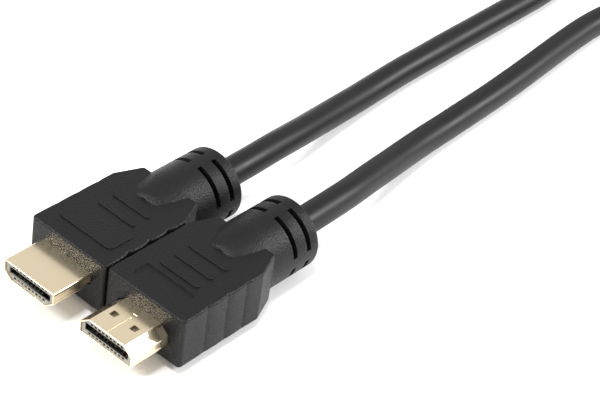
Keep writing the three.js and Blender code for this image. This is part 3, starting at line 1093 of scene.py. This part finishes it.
contact_gold, tree, shader = new_material("contact_gold", Metallic=1.0, Roughness=0.25)
place = add(tree, "ShaderNodeTexCoord").outputs["Object"]
stain = noise(tree, place, 1800, 3)
link_shader(
    tree, shader, Base_Color=blend_colours(tree, stain, contact_rich, contact_pale),
    Roughness=ramp(tree, stain, [(0.3, 0.18), (0.7, 0.34)]))
print("material:", contact_gold.name)

# %% Contacts
for letter in "ab":
    first_number = 1
    for pins, side in contact_rows:
        row = run_tree(contact_strip(side), contact_tree, {
            "Count": pins, "Pitch": contact_pitch, "Plate": contact_gold}, "contacts")
        row.name = f"contacts_{letter}_{'wide' if side > 0 else 'narrow'}"
        numbers = range(first_number, first_number + pins)
        nodes = [f"contact_{letter}_{n:02d}" for n in numbers]
        soften(row)
        finish_piece(row, contact_gold, letter, nodes)
        first_number += pins

# %% [markdown]
# ## Ties
#
# Two flat bands hold the hank. Each is a woven hook and loop strap, so it gets rounded edges and a
# fine weave in its material. Threads could be modelled, but they are so fine that two crossed
# waves do as well.

# %% Tie material
strap_black, tree, shader = new_material("strap_weave", Roughness=0.85, Sheen_Weight=0.4)
place = add(tree, "ShaderNodeTexCoord").outputs["Object"]
weave = add(tree, "ShaderNodeTexWave", {
    "Vector": place, "Scale": 1400, "Distortion": 0.6, "Detail": 1}, bands_direction="Y")
cross = add(tree, "ShaderNodeTexWave", {
    "Vector": place, "Scale": 1100, "Distortion": 0.8, "Detail": 1}, bands_direction="DIAGONAL")
both = calculate(tree, "MULTIPLY", weave.outputs["Fac"], cross.outputs["Fac"])
link_shader(
    tree, shader, Base_Color=ramp(tree, both, [(0.0, 0.006), (1.0, 0.028)]),
    Normal=bump(tree, both, 0.6, 0.00015))
print("material:", strap_black.name)

# %% Ties
strap_thick = 0.75 * mm
strap_inner_round = 2.6 * mm
strap_edge = 0.25 * mm
strap_step = 1.2 * mm
strap_sharp = math.radians(50)


def build_strap(side):
    """A band round the four runs of cord on one side of the hank."""
    low, high = (Vector(corner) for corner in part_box(f"tie_{side}"))
    outer = [(low.x, low.z), (high.x, low.z), (high.x, high.z), (low.x, high.z)]
    outline = divide(round_corners(outer, strap_inner_round + strap_thick, 8), strap_step)
    edge, thick = strap_edge, strap_thick
    rings = []
    for y, out in ((low.y + edge, 0), (high.y - edge, 0), (high.y, edge), (high.y, thick - edge),
                   (high.y - edge, thick), (low.y + edge, thick), (low.y, thick - edge),
                   (low.y, edge)):
        rings.append([(x, y, z) for x, z in pulled_in(outline, out)])
    return stack_rings(f"strap_{side}", rings, closed=True)


for side in ("left", "right"):
    strap = build_strap(side)
    strap.data.materials.append(strap_black)
    strap.data.shade_smooth()
    strap.data.set_sharp_from_angle(angle=strap_sharp)
    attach(strap, "root")
    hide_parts(f"tie_{side}")
    print(strap.name, len(strap.data.polygons), "faces")

# %% [markdown]
# ## Table and light
#
# The object lies on plain white under a bright even sky. Black plastic and gold show little but
# what they mirror, so three soft lamps, at the back right, at the front left and overhead, put
# highlights on the reliefs, the edges and the gold.

# %% Table
table_mesh = bpy.data.meshes.new("table")
reach = 3.0
table_tone = (0.95, 0.95, 0.95, 1)
table_mesh.from_pydata(
    [(-reach, -reach, 0), (reach, -reach, 0), (reach, reach, 0), (-reach, reach, 0)],
    [], [(0, 1, 2, 3)])
table = bpy.data.objects.new("table", table_mesh)
bpy.context.collection.objects.link(table)
table_white = new_material("table_white", Roughness=0.9, Base_Color=table_tone)[0]
table_mesh.materials.append(table_white)
print("table:", 2 * reach, "m wide")

# %% Light
sky_strength = 0.78
world = bpy.data.worlds.new("studio")
world.use_nodes = True
sky = world.node_tree.nodes["Background"]
sky.inputs["Color"].default_value = (1, 1, 1, 1)
sky.inputs["Strength"].default_value = sky_strength
bpy.context.scene.world = world
bpy.context.scene.view_settings.view_transform = "Standard"


def soft_lamp(name, place, width, power):
    """A round lamp of a width in metres and a power in watts, turned towards the plugs."""
    lamp = bpy.data.lights.new(name, "AREA")
    lamp.shape = "DISK"
    lamp.size = width
    lamp.energy = power
    holder = bpy.data.objects.new(name, lamp)
    turn = (aim - Vector(place)).to_track_quat("-Z", "Y").to_matrix().to_4x4()
    holder.matrix_world = Matrix.Translation(place) @ turn
    bpy.context.collection.objects.link(holder)


soft_lamp("back_right_lamp", (0.57, 0.72, 0.56), 0.26, 10)
soft_lamp("front_left_lamp", (-0.5, -0.62, 0.64), 0.26, 8)
soft_lamp("overhead_lamp", (0.1, -0.3, 1), 0.2, 6)
print("sky:", sky_strength)
